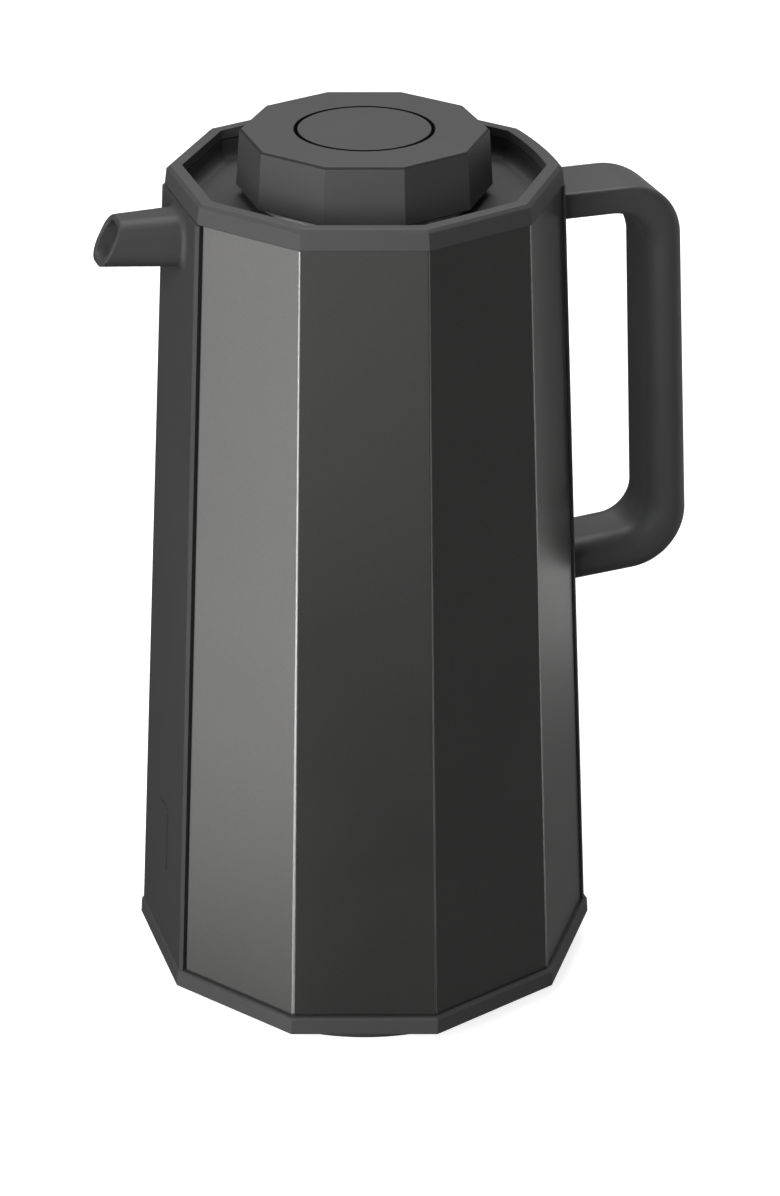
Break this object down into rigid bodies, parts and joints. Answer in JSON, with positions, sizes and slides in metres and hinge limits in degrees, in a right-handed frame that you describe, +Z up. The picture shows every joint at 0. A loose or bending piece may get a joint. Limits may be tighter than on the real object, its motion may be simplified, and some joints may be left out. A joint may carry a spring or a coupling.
{
  "type": "vacuum carafe",
  "caption": "Ten-sided pour-type vacuum carafe with a front spout, a loop handle, a sprung push-button valve and a screw-in stopper.",
  "frame": {"origin": "on the body's axis, at the surface the carafe stands on", "axes": "+Z up along the body's axis, -X towards the spout, +X towards the handle"},
  "size_m": [0.1774, 0.1398, 0.2645],
  "materials": {
    "charcoal_plastic": "matte",
    "satin_steel": "satin",
    "inner_plastic": "matte",
    "white_plastic": "satin",
    "silvered_glass": "polished",
    "silicone": "matte",
    "black_rubber": "matte",
    "steel": "satin",
    "felt_pad": "matte"
  },
  "bodies": {
    "jug": {"left_side_panel": "satin_steel", "right_side_panel": "satin_steel", "spout_panel": "charcoal_plastic", "rear_panel": "charcoal_plastic", "blank_badge": "charcoal_plastic", "handle": "charcoal_plastic", "handle_screws": "steel", "inner_body": "inner_plastic", "base_ring": "charcoal_plastic", "base_screws": "steel", "bottom_cap": "charcoal_plastic", "shoulder": "charcoal_plastic", "rim_ring": "charcoal_plastic", "pour_duct": "charcoal_plastic", "duct_gasket": "silicone", "liner_outer_flask": "silvered_glass", "liner_inner_flask": "silvered_glass", "liner_spacers": "felt_pad", "liner_cushion": "black_rubber", "neck_gasket": "silicone"},
    "stopper_seat": {"stopper_seat_gasket": "silicone"},
    "stopper": {"stopper_knob": "charcoal_plastic", "knob_screws": "steel", "plug_body": "inner_plastic", "stopper_lid_gasket": "silicone", "stem_seal": "silicone", "return_spring": "steel"},
    "button": {"push_button": "charcoal_plastic", "valve_stem": "white_plastic", "valve_seal": "silicone", "valve_disc": "white_plastic", "valve_clip": "steel"}
  },
  "joints": [
    {"name": "stopper_lift", "type": "slide", "parent": "jug", "child": "stopper_seat", "axis": [0, 0, 1], "range_m": [0, 0.085]},
    {"name": "stopper_turn", "type": "hinge", "parent": "stopper_seat", "child": "stopper", "pos_m": [0, 0, 0.23], "axis": [0, 0, 1], "range_deg": [0, 360]},
    {"name": "button_press", "type": "slide", "parent": "stopper", "child": "button", "axis": [0, 0, -1], "range_m": [0, 0.0045], "stiffness_N_per_m": 900, "springref_m": -0.0015, "deforming": ["return_spring"]}
  ]
}
